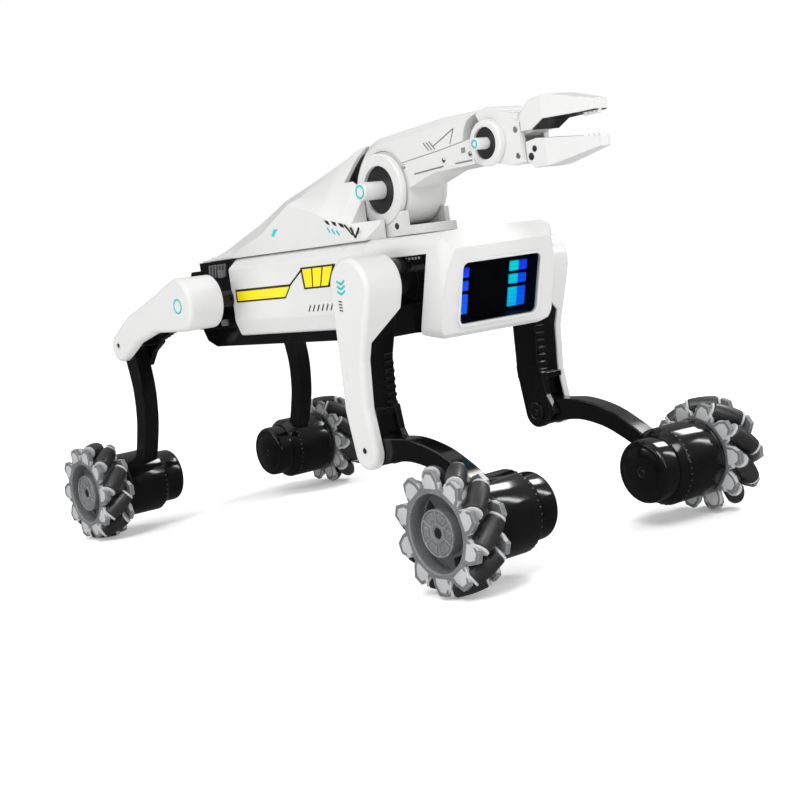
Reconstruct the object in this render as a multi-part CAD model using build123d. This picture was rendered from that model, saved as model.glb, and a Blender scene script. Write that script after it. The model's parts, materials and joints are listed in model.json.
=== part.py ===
"""Wheel-legged quadruped robot dog with a two-link arm and a gripper on its back.

Millimetres. +X forward, +Y to the robot's left, +Z up. The origin is on the ground, under the middle of
the overall length. Each function makes one piece; the last section places the pieces and writes the files.
"""

import math
import os

from build123d import *

# ---- driving dimensions -------------------------------------------------------------------------------
WHEEL_R = 30.0  # mecanum wheel, over its rollers
WHEEL_WIDTH = 19.0
WHEELBASE = 344.0
FRONT_AXLE_X = 169.0
REAR_AXLE_X = FRONT_AXLE_X - WHEELBASE
WHEEL_INNER_Y = 80.0  # inner side of each wheel, from the robot's mid-plane

FRONT_HIP = (88.0, 140.0)  # X, Z of the hip axes
REAR_HIP = (-80.0, 140.0)
THIGH_LENGTH = 82.0
SHIN_LENGTH = 89.0

HIP_INNER_Y, HIP_OUTER_Y = 48.0, 70.0  # the thigh's width at the hip
SHELL_INNER_Y = 64.6  # inner side of the white thigh shell below the hip
SHIN_INNER_Y, SHIN_OUTER_Y = 53.6, 64.2
COVER_INNER_Y = 49.6  # inner side of the black thigh cover
HIP_R = 15.6
KNEE_R = 9.0
HIP_PIN_R, KNEE_PIN_R = 4.0, 3.0
RUNNING = 0.05  # radial clearance of a pin that turns
SNUG = 0.02  # radial clearance of a pin that is pressed in

DRUM_R, DRUM_INNER_Y, DRUM_OUTER_Y = 20.0, 48.0, 79.4
DRUM_CONE_R, DRUM_CONE_LENGTH = 17.0, 4.0  # the cone at each drum's inner end
CAP_R, CAP_INNER_Y = 16.4, 37.0
WALL = 2.0

# outlines of the thigh and shin as circles (x, z, radius), and where the hip block narrows to the shell
THIGH_CIRCLES = ((0, 0, HIP_R), (-4.2, -34, 9.8), (-4.6, -60, 9.2), (0, -THIGH_LENGTH, KNEE_R))
SHIN_CIRCLES = ((0, 0, 8.2), (11, 4.0, 6.2), (27, 9.8, 5.6), (45, 11.8, 5.2), (70, 8.4, 4.6), (82, 3.0, 4.6))
STEP_TOP_Z, STEP_LOW_Z = -12.0, -27.0
RIB_COUNT, RIB_PITCH, RIB_TOP_Z = 9, 4.0, -31.0

ROLLER_COUNT = 10
ROLLER_R = 5.0  # at its middle
ROLLER_AXIS_R = WHEEL_R - ROLLER_R
ROLLER_HALF = 9.2  # half the length of one roller
ROLLER_TILT = 45.0
ROLLER_GAP = 0.4

HUB_STUB_R = 3.0
PLATE_LOW_Y = WHEEL_WIDTH / 2 - 2.6  # the side plates lie between this and half the width
PLATE_R, TOOTH_R = 21.6, 28.5
DISH_R = 18.6
BOSS_R = 11.0
WINDOW_COUNT = 5

BODY_HALF_Y = 35.0
TORSO_REAR_X, TORSO_FRONT_X = -75.0, 62.0
TORSO_LOW_Z, TORSO_TOP_Z = 117.0, 163.0
BELLY_Z = 111.0
FRONT_BOSS_R, REAR_BOSS_R = 12.2, 7.0  # the bosses on the body that the thighs turn against
SWITCH_X, SWITCH_SLOT, SWITCH_KNOB = -40.0, 12.4, 4.0
HEAD_HALF_Y = 38.0
HEAD_LEAN = math.radians(16.0)
HEAD_LOW_Z, HEAD_TOP_Z = 109.5, 162.5
HEAD_REAR_X_LOW, HEAD_FRONT_X_LOW = 101.0, 116.5
ROOF_LOW_Z = 152.5
SCREEN_HALF_Y, SCREEN_LOW_Z, SCREEN_TOP_Z = 26.6, 115.3, 145.8
DISPLAY_DEPTH = 11.0
LIGHT_BARS = ((0.07, 0.39), (0.45, 0.61), (0.665, 0.83))  # lowest and highest, in the share of the screen
LIGHT_BAR_Y = (14.0, 26.0)

# stations of the dorsal cover: X, height at the side, at the shoulder line and at the spine
DORSAL_STATIONS = (
    (-110, 163.8, 164.4, 165.0),
    (-78, 165.0, 174.5, 178.5),
    (-45, 173.5, 184.0, 192.0),
    (-12, 188.5, 192.4, 200.0),
    (16, 180.5, 192.6, 207.5),
    (34, 172.8, 189.6, 213.0),
    (57, 163.8, 171.0, 213.5),
)
DORSAL_SIDE_Y, DORSAL_LINE_Y, DORSAL_SPINE_Y = 30.5, 20.0, 9.0

ARM_RING_R, ARM_WRAP_R, ARM_HALF_Y = 20.0, 27.6, 11.6  # the ring on the shoulder, and its fairing
ARM_SWEEP_R = ARM_WRAP_R + 1.0
SHOULDER = (54.0, 188.6)  # X, Z of the shoulder axis
SHOULDER_R, SHOULDER_RIM_R, SHOULDER_HALF_Y = 17.4, 19.2, 16.0
ELBOW = (138.0, 202.2)
ELBOW_R, ELBOW_RIM_R, ELBOW_HALF_Y, ELBOW_AXLE_R = 10.2, 11.3, 13.0, 3.0
HOOD_R, HOOD_HALF_Y = 17.2, 9.5  # the hood over the elbow, which runs in the arm cover's hollow end
JAW_PIVOT_X, JAW_PIN_R = 157.0, 1.5
JAW_TIP_X = 205.4
UPPER_JAW_PIVOT_Z, LOWER_JAW_PIVOT_Z = JAW_PIVOTS_Z = 206.0, 193.5

# each leg's side, hip, axle X, and the turn of its wheel at rest in degrees
LEGS = {
    "front_right": (-1, FRONT_HIP, FRONT_AXLE_X, 18.0),
    "front_left": (1, FRONT_HIP, FRONT_AXLE_X, 0.0),
    "rear_right": (-1, REAR_HIP, REAR_AXLE_X, 0.0),
    "rear_left": (1, REAR_HIP, REAR_AXLE_X, 0.0),
}


# ---- helpers --------------------------------------------------------------------------------------------
def block(x0, x1, y0, y1, z0, z1):
    """A box between two corners."""
    box = Box(x1 - x0, y1 - y0, z1 - z0)
    return Pos((x0 + x1) / 2, (y0 + y1) / 2, (z0 + z1) / 2) * box


def rod(radius, y0, y1, x=0.0, z=0.0):
    """A cylinder along Y, from y0 to y1."""
    return Pos(x, (y0 + y1) / 2, z) * Rot(90, 0, 0) * Cylinder(radius, abs(y1 - y0))


def side_profile(sketch, y0, y1):
    """A sketch drawn in X and Z (as sketch X and Y), extruded along Y from y0 to y1."""
    solid = extrude(sketch, y1 - y0)
    return Pos(0, y1, 0) * Rot(90, 0, 0) * solid


def front_profile(sketch, x0, x1):
    """A sketch drawn in Y and Z (as sketch X and Y), extruded along X from x0 to x1."""
    return Pos(x0, 0, 0) * (Plane.YZ * extrude(sketch, x1 - x0))


def outline(*points):
    """A closed flat shape through its corners, in order."""
    return make_face(Polyline(*points, close=True))


def belt(*circles):
    """The flat outline of a belt round circles given as (x, z, radius), in order along the part."""
    shape = Sketch()
    for (xa, za, ra), (xb, zb, rb) in zip(circles, circles[1:]):
        pair = [Pos(xa, za) * Circle(ra), Pos(xb, zb) * Circle(rb)]
        shape += make_hull([edge for disc in pair for edge in disc.edges()])
    return shape


def knee_of(hip, axle_x):
    """X and Z of the knee, behind the line from the hip to the wheel axle."""
    dx, dz = axle_x - hip[0], WHEEL_R - hip[1]
    reach = math.hypot(dx, dz)
    along = (THIGH_LENGTH**2 - SHIN_LENGTH**2 + reach**2) / (2 * reach)
    off = math.sqrt(THIGH_LENGTH**2 - along**2)
    ux, uz = dx / reach, dz / reach
    return hip[0] + ux * along + uz * off, hip[1] + uz * along - ux * off


def both_sides(shape):
    """The shape and its mirror image across the robot's mid-plane."""
    return [shape, mirror(shape, Plane.XZ)]


# ---- leg, made for the left side with its joint at the origin -------------------------------------------
def thigh_side_cut():
    """The space beside the shell, below the slanted underside of the hip block."""
    cut = outline(
        (HIP_INNER_Y - 2, STEP_TOP_Z + 2),
        (SHELL_INNER_Y, STEP_LOW_Z),
        (SHELL_INNER_Y, -THIGH_LENGTH - 20),
        (HIP_INNER_Y - 2, -THIGH_LENGTH - 20),
    )
    return front_profile(cut, -40, 40)


def thigh_shell():
    solid = side_profile(belt(*THIGH_CIRCLES), HIP_INNER_Y, HIP_OUTER_Y)
    outer_rim = solid.faces().sort_by(Axis.Y)[-1].edges()
    solid = fillet(outer_rim, 2.6) - thigh_side_cut()
    solid -= rod(HIP_PIN_R + RUNNING, HIP_INNER_Y - 1, 62.0)
    solid -= rod(KNEE_PIN_R + SNUG, SHELL_INNER_Y - 1, 68.0, 0, -THIGH_LENGTH)
    # hollow between the pin's boss and the hip's wall
    ring = rod(HIP_R - 2.4, HIP_INNER_Y - 1, 64.0) - rod(HIP_PIN_R + 2.6, HIP_INNER_Y - 2, 65.0)
    solid -= ring - block(-20, 20, 40, 70, -30, STEP_TOP_Z + 4)
    return solid


def thigh_cover():
    """The black inner half of the thigh: a ribbed box above and a thin cheek over the knee below."""
    upper = belt((0, 0, 14.6), (-4.2, -34, 8.8), (-4.6, -64, 8.2))
    body = side_profile(upper, COVER_INNER_Y, SHELL_INNER_Y) & thigh_side_cut()
    body -= block(-30, 30, 40, 70, -90, -63.5)
    cheek = belt((-4.6, -58, 8.6), (0, -THIGH_LENGTH, KNEE_R - 0.4))
    cheek += outline((-4, -58), (6.4, -60), (8.6, -72), (14.5, -82), (6.5, -86), (-2, -76))
    body += side_profile(cheek, COVER_INNER_Y, 53.0)
    for i in range(RIB_COUNT):
        z = RIB_TOP_Z - i * RIB_PITCH
        body += block(0, 5.6, COVER_INNER_Y + 0.6, COVER_INNER_Y + 5.6, z - 0.9, z + 0.9)
    body += block(-2, 6.4, COVER_INNER_Y, SHELL_INNER_Y, -63.5, -60.5)
    body -= rod(KNEE_PIN_R + SNUG, COVER_INNER_Y - 1, 54.0, 0, -THIGH_LENGTH)
    return body


def knee_pin():
    head = rod(KNEE_PIN_R + 2.4, COVER_INNER_Y - 1.4, COVER_INNER_Y)
    return rod(KNEE_PIN_R, COVER_INNER_Y - 1, 67.8) + head


def shin():
    arm = side_profile(belt(*SHIN_CIRCLES), SHIN_INNER_Y, SHIN_OUTER_Y)
    arm -= rod(KNEE_PIN_R + RUNNING, SHIN_INNER_Y - 1, SHIN_OUTER_Y + 1)
    return arm - rod(DRUM_R + 0.05, 40, 80, SHIN_LENGTH)


def motor_drum():
    """The drum housing with its cone and end wall, and the geared motor inside it as a second solid."""
    cone_y = DRUM_INNER_Y + DRUM_CONE_LENGTH
    cone = Rot(90, 0, 0) * Cone(DRUM_R, DRUM_CONE_R, DRUM_CONE_LENGTH)
    shell = rod(DRUM_R, cone_y, DRUM_OUTER_Y) + Pos(0, cone_y - DRUM_CONE_LENGTH / 2, 0) * cone
    shell -= rod(DRUM_R - 3.4, cone_y, DRUM_OUTER_Y - WALL) + rod(14.2, DRUM_INNER_Y - 1, cone_y)
    shell -= rod(HUB_STUB_R + 0.4, 70, 90)
    motor = rod(12.2, cone_y, DRUM_OUTER_Y - 9)
    return Compound([shell, motor])


def drum_cap():
    cap = rod(CAP_R, CAP_INNER_Y, DRUM_INNER_Y)
    cap = fillet(cap.edges().filter_by(GeomType.CIRCLE).sort_by(Axis.Y)[0], 2.4)
    cap += rod(14.0, DRUM_INNER_Y, DRUM_INNER_Y + 1.6)
    cap -= rod(CAP_R - 3.4, CAP_INNER_Y + 2.4, DRUM_INNER_Y + 4)
    return cap - rod(1.1, CAP_INNER_Y - 1, CAP_INNER_Y + 3)


# ---- wheel, made for the left side with its middle at the origin and its outer side at +Y ----------------
def roller_place(index):
    """Where one roller sits: its own axis is local Z, and its middle is at the origin of that place."""
    turn = Rot(0, 360.0 / ROLLER_COUNT * index + 90, 0)
    return turn * Pos(ROLLER_AXIS_R, 0, 0) * Rot(90 - ROLLER_TILT, 0, 0)


def roller_radius(along):
    """A roller's radius at a distance along its axis, so that the rollers together make a round wheel."""
    off = along * math.sin(math.radians(ROLLER_TILT))
    return WHEEL_R - math.hypot(ROLLER_AXIS_R, off)


def roller():
    """One barrel-shaped roller about Z, with its stub pins."""
    end_r = roller_radius(ROLLER_HALF)
    bulge = ThreePointArc((end_r, -ROLLER_HALF), (ROLLER_R, 0), (end_r, ROLLER_HALF))
    half = make_face(
        bulge + Polyline((end_r, ROLLER_HALF), (0, ROLLER_HALF), (0, -ROLLER_HALF), (end_r, -ROLLER_HALF))
    )
    return revolve(Rot(90, 0, 0) * half, Axis.Z)


def rollers():
    barrel = roller()
    return Compound([roller_place(i) * barrel for i in range(ROLLER_COUNT)])


def wheel_plate(side):
    """One toothed side plate. side is +1 for the outer plate and -1 for the inner one."""
    reach = (ROLLER_HALF + 2.4) * math.sin(math.radians(ROLLER_TILT))
    lean = math.degrees(math.atan2(reach, ROLLER_AXIS_R))
    tooth = outline((17, -6.2), (23.6, -5.4), (TOOTH_R, -2.6), (TOOTH_R, 2.6), (24.4, 4.9), (17, 6.2))
    shape = Circle(PLATE_R)
    for i in range(ROLLER_COUNT):
        shape += Rot(0, 0, 360.0 / ROLLER_COUNT * i - 90 - side * lean) * tooth
    low, high = sorted((side * PLATE_LOW_Y, side * WHEEL_WIDTH / 2))
    return side_profile(shape, low, high)


def wheel_hub():
    hub = rod(DISH_R + 1.6, -PLATE_LOW_Y, PLATE_LOW_Y) + wheel_plate(1) + wheel_plate(-1)
    clearance = Cylinder(ROLLER_R + ROLLER_GAP, 2 * (ROLLER_HALF + ROLLER_GAP))
    hub -= [roller_place(i) * clearance for i in range(ROLLER_COUNT)]
    hub -= rod(DISH_R, 1.5, 20)  # the dish, open to the outer side
    hub += rod(BOSS_R, 0, WHEEL_WIDTH / 2 - 1.4)
    hub -= rod(DISH_R - 1.5, -20, -1.5) - rod(BOSS_R, -20, 0)
    window = extrude(Circle(DISH_R - 1.4) - Circle(BOSS_R + 1.4), 10, both=True)
    wedge = extrude(outline((0, 0), (40, 11), (40, -11)), 10, both=True)
    for i in range(WINDOW_COUNT):
        hub -= Rot(90, 0, 0) * Rot(0, 0, 360 / WINDOW_COUNT * i + 90) * (window & wedge)
    hub -= rod(2.6, WHEEL_WIDTH / 2 - 5, 20)
    drum_reach = DRUM_OUTER_Y - WALL - 2 - (WHEEL_INNER_Y + WHEEL_WIDTH / 2)
    return hub + rod(HUB_STUB_R, drum_reach, 0)


# ---- body -------------------------------------------------------------------------------------------------
def torso_half(side):
    """One half of the white torso shell, hollow and open at both ends and underneath."""
    section = outline(
        (0, TORSO_TOP_Z),
        (BODY_HALF_Y - 7, TORSO_TOP_Z),
        (BODY_HALF_Y, TORSO_TOP_Z - 6),
        (BODY_HALF_Y, TORSO_LOW_Z + 9),
        (BODY_HALF_Y - 3, TORSO_LOW_Z),
        (0, TORSO_LOW_Z),
    )
    solid = front_profile(section, TORSO_REAR_X, TORSO_FRONT_X)
    long_edges = solid.edges().filter_by(Axis.X).filter_by(lambda edge: edge.center().Y > 1)
    solid = fillet(long_edges, 2.5)
    inner_half_y = BODY_HALF_Y - WALL - 3
    solid -= block(-200, 200, -1, inner_half_y, TORSO_LOW_Z - 1, TORSO_TOP_Z - WALL - 1)
    return solid if side > 0 else mirror(solid, Plane.XZ)


def belly_pan():
    profile = outline(
        (-122, 122), (-118, 115), (-108, BELLY_Z), (TORSO_FRONT_X, BELLY_Z),
        (TORSO_FRONT_X, TORSO_LOW_Z - 0.1), (-74.8, TORSO_LOW_Z - 0.1), (-74.8, 122),
    )
    pan = side_profile(profile, -30, 30)
    hollow = block(-104, TORSO_FRONT_X - 4, -27, 27, BELLY_Z + WALL, 130)
    pan -= hollow
    return pan - Pos(SWITCH_X, 0, BELLY_Z) * Box(SWITCH_SLOT, 4.8, 10)


def power_switch():
    """The slide switch's knob, in its off position."""
    rear = SWITCH_X - SWITCH_SLOT / 2 + 0.7
    return block(rear, rear + SWITCH_KNOB, -2.0, 2.0, BELLY_Z + 0.5, BELLY_Z + 4.2)


def dorsal_section(x, side_z, line_z, spine_z, shrink=0.0):
    right = [
        (DORSAL_SIDE_Y - shrink, TORSO_TOP_Z),
        (DORSAL_SIDE_Y - shrink, side_z - shrink * 0.6),
        (DORSAL_LINE_Y - shrink, line_z - shrink),
        (DORSAL_SPINE_Y - shrink * 0.5, spine_z - shrink),
    ]
    left = [(-y, z) for y, z in reversed(right)]
    points = [(x, y, z) for y, z in right + left]
    return Face(Wire.make_polygon(points, close=True))


def dorsal_cover():
    outer = [dorsal_section(*station).outer_wire() for station in DORSAL_STATIONS]
    inner = [dorsal_section(*station, shrink=WALL + 0.2).outer_wire() for station in DORSAL_STATIONS[1:-1]]
    cover = Part() + Solid.make_loft(outer, ruled=True) - Solid.make_loft(inner, ruled=True)
    sx, sz = SHOULDER
    cover -= rod(ARM_SWEEP_R, -SHOULDER_HALF_Y - 1.2, SHOULDER_HALF_Y + 1.2, sx, sz)
    cover -= block(sx - ARM_SWEEP_R, 80, -SHOULDER_HALF_Y - 1.2, SHOULDER_HALF_Y + 1.2, 150, sz)
    # room for the axle ends beside the shoulder
    cover -= block(sx - 12, 80, -40, 40, 173, 240)
    return cover


def tail_cover():
    """The small grey block behind the dorsal cover."""
    return chamfer(block(-123, -112.3, -17, 17, 158.2, 165.2).edges().filter_by(Axis.Y), 1.6)


def head_x(z, x_low):
    """X at a height on a head face that leans forward from x_low at the chin."""
    return x_low + (z - HEAD_LOW_Z) * math.tan(HEAD_LEAN)


def head_shell():
    """The white head: a slab that leans forward, with a roof that runs back over the neck."""
    brow_z = HEAD_TOP_Z - 9
    profile = outline(
        (head_x(HEAD_LOW_Z, HEAD_REAR_X_LOW), HEAD_LOW_Z + 3),
        (HEAD_FRONT_X_LOW - 4, HEAD_LOW_Z),
        (HEAD_FRONT_X_LOW, HEAD_LOW_Z + 2),
        (head_x(brow_z, HEAD_FRONT_X_LOW), brow_z),
        (head_x(brow_z, HEAD_FRONT_X_LOW) - 6, HEAD_TOP_Z),
        (TORSO_FRONT_X + 0.2, HEAD_TOP_Z),
        (TORSO_FRONT_X + 0.2, ROOF_LOW_Z),
        (head_x(ROOF_LOW_Z, HEAD_REAR_X_LOW), ROOF_LOW_Z),
    )
    head = side_profile(profile, -HEAD_HALF_Y, HEAD_HALF_Y)
    # rounded corners seen from the front and from above
    front_view = RectangleRounded(2 * HEAD_HALF_Y, HEAD_TOP_Z - HEAD_LOW_Z, 7)
    head &= Pos(0, 0, (HEAD_TOP_Z + HEAD_LOW_Z) / 2) * front_profile(front_view, 40, 160)
    plan = RectangleRounded(2 * 72, 2 * HEAD_HALF_Y, 8)
    head &= Pos(head_x(brow_z, HEAD_FRONT_X_LOW) - 72, 0, 90) * extrude(plan, 100)
    # hollow roof and the display box
    roof_half_y = HEAD_HALF_Y - 3
    head -= block(TORSO_FRONT_X - 1, 100, -roof_half_y, roof_half_y, ROOF_LOW_Z - 1, HEAD_TOP_Z - WALL)
    return head - window_prism(SCREEN_HALF_Y, SCREEN_LOW_Z, SCREEN_TOP_Z, -DISPLAY_DEPTH, 5)


def window_prism(half_y, low_z, top_z, back, front, corner=3.2):
    """A prism with the screen's rounded outline, from back to front, measured from the leaning face."""
    middle_z = (low_z + top_z) / 2
    face = RectangleRounded(2 * half_y, (top_z - low_z) / math.cos(HEAD_LEAN), corner)
    place = Pos(head_x(middle_z, HEAD_FRONT_X_LOW), 0, middle_z) * Rot(0, math.degrees(HEAD_LEAN), 0)
    return place * front_profile(face, back, front)


def screen_plate(back, front):
    """A plate that fills the screen's opening between two depths, with a small gap all round."""
    return window_prism(SCREEN_HALF_Y - 0.1, SCREEN_LOW_Z + 0.1, SCREEN_TOP_Z - 0.1, back, front)


def face_window():
    return screen_plate(-1.6, -0.4)


def display_panel():
    return screen_plate(-DISPLAY_DEPTH, -DISPLAY_DEPTH + 1.2)


def light_bars():
    bars = []
    span = SCREEN_TOP_Z - SCREEN_LOW_Z
    for low, high in LIGHT_BARS:
        low_z, high_z = SCREEN_LOW_Z + low * span, SCREEN_LOW_Z + high * span
        slab = window_prism(LIGHT_BAR_Y[1], low_z, high_z, -DISPLAY_DEPTH + 1.2, -DISPLAY_DEPTH + 2.4, 1.0)
        bar = slab & block(80, 160, LIGHT_BAR_Y[0], LIGHT_BAR_Y[1] + 1, 100, 170)
        bars += both_sides(bar.solids()[0])
    return Compound(bars)


def with_hip_bosses(frame, hip, half_y, radius):
    """A hip frame with inner bosses for its two axles, and an outer boss on each side as its own solid."""
    for boss in both_sides(rod(radius, half_y - 9, half_y, *hip)):
        frame += boss
    for hole in both_sides(rod(HIP_PIN_R + SNUG, 20, HIP_INNER_Y + 1, *hip)):
        frame -= hole
    outer = rod(radius, half_y + 0.05, HIP_INNER_Y - 0.4, *hip)
    outer -= rod(HIP_PIN_R + SNUG, 20, HIP_INNER_Y + 1, *hip)
    return Compound([*frame.solids(), *both_sides(outer)])


def front_hip_frame():
    """The black neck between torso and head."""
    low, high = BELLY_Z + 2.5, ROOF_LOW_Z - 0.1
    profile = outline(
        (TORSO_FRONT_X + 0.2, low),
        (head_x(low, HEAD_REAR_X_LOW) - 4, low),
        (HEAD_REAR_X_LOW - 0.2, HEAD_LOW_Z + 5),
        (head_x(high, HEAD_REAR_X_LOW) - 0.2, high),
        (TORSO_FRONT_X + 0.2, high),
    )
    half_y = BODY_HALF_Y - 0.5
    frame = side_profile(profile, -half_y, half_y)
    frame -= side_profile(outline((66, 117), (98.4, 117), (101, 149.8), (66, 149.8)), -28, 28)
    return with_hip_bosses(frame, FRONT_HIP, half_y, FRONT_BOSS_R)


def rear_hip_frame():
    """The black frame behind the torso, between the rear legs."""
    front_x = TORSO_REAR_X - 0.2
    profile = outline(
        (front_x, 162.8), (-112, 162.8), (-112, 158), (-123, 158), (-127, 151), (-127, 128),
        (-122.2, 122.2), (front_x, 122.2),
    )
    half_y = BODY_HALF_Y - 3
    frame = side_profile(profile, -half_y, half_y)
    frame -= side_profile(outline((-112, 127), (-70, 127), (-70, 158), (-112, 155)), -26, 26)
    frame = with_hip_bosses(frame, REAR_HIP, half_y, REAR_BOSS_R)
    torso_side = block(front_x, 0, -BODY_HALF_Y - 0.3, BODY_HALF_Y + 0.3, 100, 180)
    return Compound([solid - torso_side for solid in frame.solids()])


def hip_axles():
    axles = []
    for hip in (FRONT_HIP, REAR_HIP):
        axles += both_sides(rod(HIP_PIN_R, 27, 61.5, *hip))
    return Compound(axles)


def hip_gearmotors():
    """Four geared motors, each with its can towards the middle of the body."""
    motors = []
    for x, z in (FRONT_HIP, REAR_HIP):
        motors += both_sides(rod(9.0, 3, 22, x, z) + rod(3, 22, 26.5, x, z))
    return Compound(motors)


def battery_pack():
    cells = [rod(9.0, -27, 27, x, 131.0) for x in (-60, -41, -22)]
    return Compound(cells)


def circuit_board():
    return block(-68, 52, -28, 28, 146.0, 147.6)


# ---- arm --------------------------------------------------------------------------------------------------
def arm_base():
    """The saddle under the shoulder: a foot plate and two cheeks that the drum's rims sit in."""
    sx, sz = SHOULDER
    foot = block(sx - 18, sx + 23, -15.5, 15.5, TORSO_TOP_Z + 0.1, TORSO_TOP_Z + 5)
    for cheek in both_sides(block(sx - 13, sx + 18, 12.2, 15.5, TORSO_TOP_Z + 4, TORSO_TOP_Z + 13)):
        foot += cheek
    foot -= rod(SHOULDER_RIM_R + SNUG, -30, 30, sx, sz)
    return foot - rod(ARM_RING_R + 0.5, -12.2, 12.2, sx, sz)


def end_rims(radius, rim_radius, half_y, centre):
    """A drum along Y with a wider rim at each end."""
    drum = rod(radius, -half_y, half_y, *centre)
    for y0, y1 in ((-half_y, -half_y + 4), (half_y - 4, half_y)):
        rim = rod(rim_radius, y0, y1, *centre)
        drum += fillet(rim.edges().filter_by(GeomType.CIRCLE), 1.0)
    return drum


def shoulder_housing():
    """The fixed shoulder drum, and the geared motor inside it as a second solid."""
    drum = end_rims(SHOULDER_R, SHOULDER_RIM_R, SHOULDER_HALF_Y, SHOULDER)
    for recess in both_sides(rod(12.8, SHOULDER_HALF_Y - 3.2, SHOULDER_HALF_Y + 1, *SHOULDER)):
        drum -= recess
    room = SHOULDER_HALF_Y - 5.4
    drum -= rod(14.6, -room, room, *SHOULDER)
    return Compound([drum, rod(11.0, -room + 0.4, room - 0.4, *SHOULDER)])


def shoulder_discs():
    disc = rod(12.7, SHOULDER_HALF_Y - 3.2, SHOULDER_HALF_Y - 1.8, *SHOULDER)
    return Compound(both_sides(disc))


def shoulder_pins():
    pin = rod(4.8, SHOULDER_HALF_Y - 1.8, SHOULDER_HALF_Y + 12.6, *SHOULDER)
    pin = fillet(pin.edges().filter_by(GeomType.CIRCLE).sort_by(Axis.Y)[-1], 1.0)
    return Compound(both_sides(pin))


def upper_arm_cover():
    """The white fairing over the top of the upper arm, wrapped round the back of the shoulder."""
    sx, sz = SHOULDER
    seam_x, seam_z = sx + 9, sz + 11.6
    wrap = rod(ARM_WRAP_R, -ARM_HALF_Y, ARM_HALF_Y, sx, sz)
    quarter = outline((sx, sz), (sx - 50, sz + 12), (sx - 30, sz + 60), (seam_x, sz + 60), (seam_x, seam_z))
    wrap &= side_profile(quarter, -20, 20)
    top_z = sz + ARM_WRAP_R
    beam = outline(
        (sx, seam_z), (sx, top_z), (104, 219.4), (134, 219), (134, 206.8), (127.5, 206.2), (100, 203.2),
        (seam_x, seam_z),
    )
    cover = wrap + side_profile(beam, -ARM_HALF_Y, ARM_HALF_Y)
    upper = [edge for edge in cover.edges() if edge.center().Z > 214.5]
    top_edges = [edge for edge in upper if abs(edge.center().Y) > ARM_HALF_Y - 0.1]
    cover = chamfer(top_edges, 4.0)
    return cover - rod(ARM_RING_R + 0.2, -30, 30, sx, sz) - rod(HOOD_R + 0.5, -30, 30, *ELBOW)


def upper_arm_frame():
    """The lower beam of the upper arm: a ring that turns on the shoulder drum, and a tongue for the elbow."""
    sx, sz = SHOULDER
    ex, ez = ELBOW
    beam = outline(
        (sx + 8, 184), (96, 192.6), (127.5, 193.2), (127.5, 206.0), (100, 203.0), (sx + 9, sz + 11.4)
    )
    frame = side_profile(beam, -ARM_HALF_Y + 0.2, ARM_HALF_Y - 0.2)
    frame += rod(ARM_RING_R, -ARM_HALF_Y + 0.2, ARM_HALF_Y - 0.2, sx, sz)
    frame -= rod(SHOULDER_R + RUNNING, -30, 30, sx, sz)
    frame -= rod(ELBOW_RIM_R + 0.5, -30, 30, ex, ez)
    tongue = rod(7.0, -6, 6, ex, ez) + block(120, ex, -6, 6, ez - 6, ez + 2.8)
    return frame + (tongue - rod(ELBOW_AXLE_R + RUNNING, -20, 20, ex, ez))


def elbow_housing():
    """The elbow drum, split round the upper arm's tongue, with the gripper's root in front."""
    ex, ez = ELBOW
    drum = end_rims(ELBOW_R, ELBOW_RIM_R, ELBOW_HALF_Y, ELBOW)
    root = outline((ex, ez - 9.6), (154, 189.2), (160, 190), (160, 209.4), (151, 212), (ex, ez + 10))
    wedge = outline((ex, ez), (ex - 13, ez + 24), (ex + 30, ez + 24), (ex + 15, ez + 4))
    hood = (Pos(ex, ez) * Circle(HOOD_R)) & wedge
    hood += outline((142, 210.2), (142, 218.8), (147.5, 216.5), (157.4, 213.6), (158.2, 209.9), (151, 206))
    root = side_profile(root, -9.5, 9.5) + side_profile(hood, -HOOD_HALF_Y, HOOD_HALF_Y)
    root -= rod(ELBOW_R - 1, -30, 30, ex, ez)
    housing = drum + root
    housing -= rod(7.6, -6.4, 6.4, ex, ez) + block(100, ex, -6.4, 6.4, ez - 12, ez + 12)
    housing -= block(152.6, 170, -6.2, 6.2, 180, 220)
    housing -= rod(ELBOW_AXLE_R + SNUG, -11, 11, ex, ez)
    for z in JAW_PIVOTS_Z:
        housing -= rod(JAW_PIN_R + SNUG, -20, 20, JAW_PIVOT_X, z)
    for recess in both_sides(rod(7.9, ELBOW_HALF_Y - 2.4, ELBOW_HALF_Y + 1, ex, ez)):
        housing -= recess
    return housing


def forearm_pins():
    """The elbow's axle and the two jaw pins."""
    jaw_pins = [rod(JAW_PIN_R, -9.5, 9.5, JAW_PIVOT_X, z) for z in JAW_PIVOTS_Z]
    return Compound([rod(ELBOW_AXLE_R, -ELBOW_HALF_Y + 2.6, ELBOW_HALF_Y - 2.6, *ELBOW), *jaw_pins])


def elbow_discs():
    disc = rod(7.8, ELBOW_HALF_Y - 2.4, ELBOW_HALF_Y - 1.2, *ELBOW)
    return Compound(both_sides(disc))


def elbow_pins():
    pin = rod(2.9, ELBOW_HALF_Y - 1.2, ELBOW_HALF_Y + 6.6, *ELBOW)
    pin = fillet(pin.edges().filter_by(GeomType.CIRCLE).sort_by(Axis.Y)[-1], 0.7)
    return Compound(both_sides(pin))


def jaw_teeth(x0, x1, y, z, height, count):
    """A row of small pyramid-like grip teeth, pointing along height's sign."""
    pitch = (x1 - x0) / count
    row = Part()
    for i in range(count):
        a = x0 + i * pitch
        row += side_profile(outline((a, z), (a + pitch, z), (a + pitch / 2, z + height)), y - 1.2, y + 1.2)
    return row


def jaw_tongue(pivot_z):
    """The knuckle at a jaw's root that turns on its pin between the housing's cheeks."""
    x = JAW_PIVOT_X
    return rod(3.6, -5.8, 5.8, x, pivot_z) + block(x, x + 7, -5.8, 5.8, pivot_z - 2.6, pivot_z + 2.6)


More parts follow.
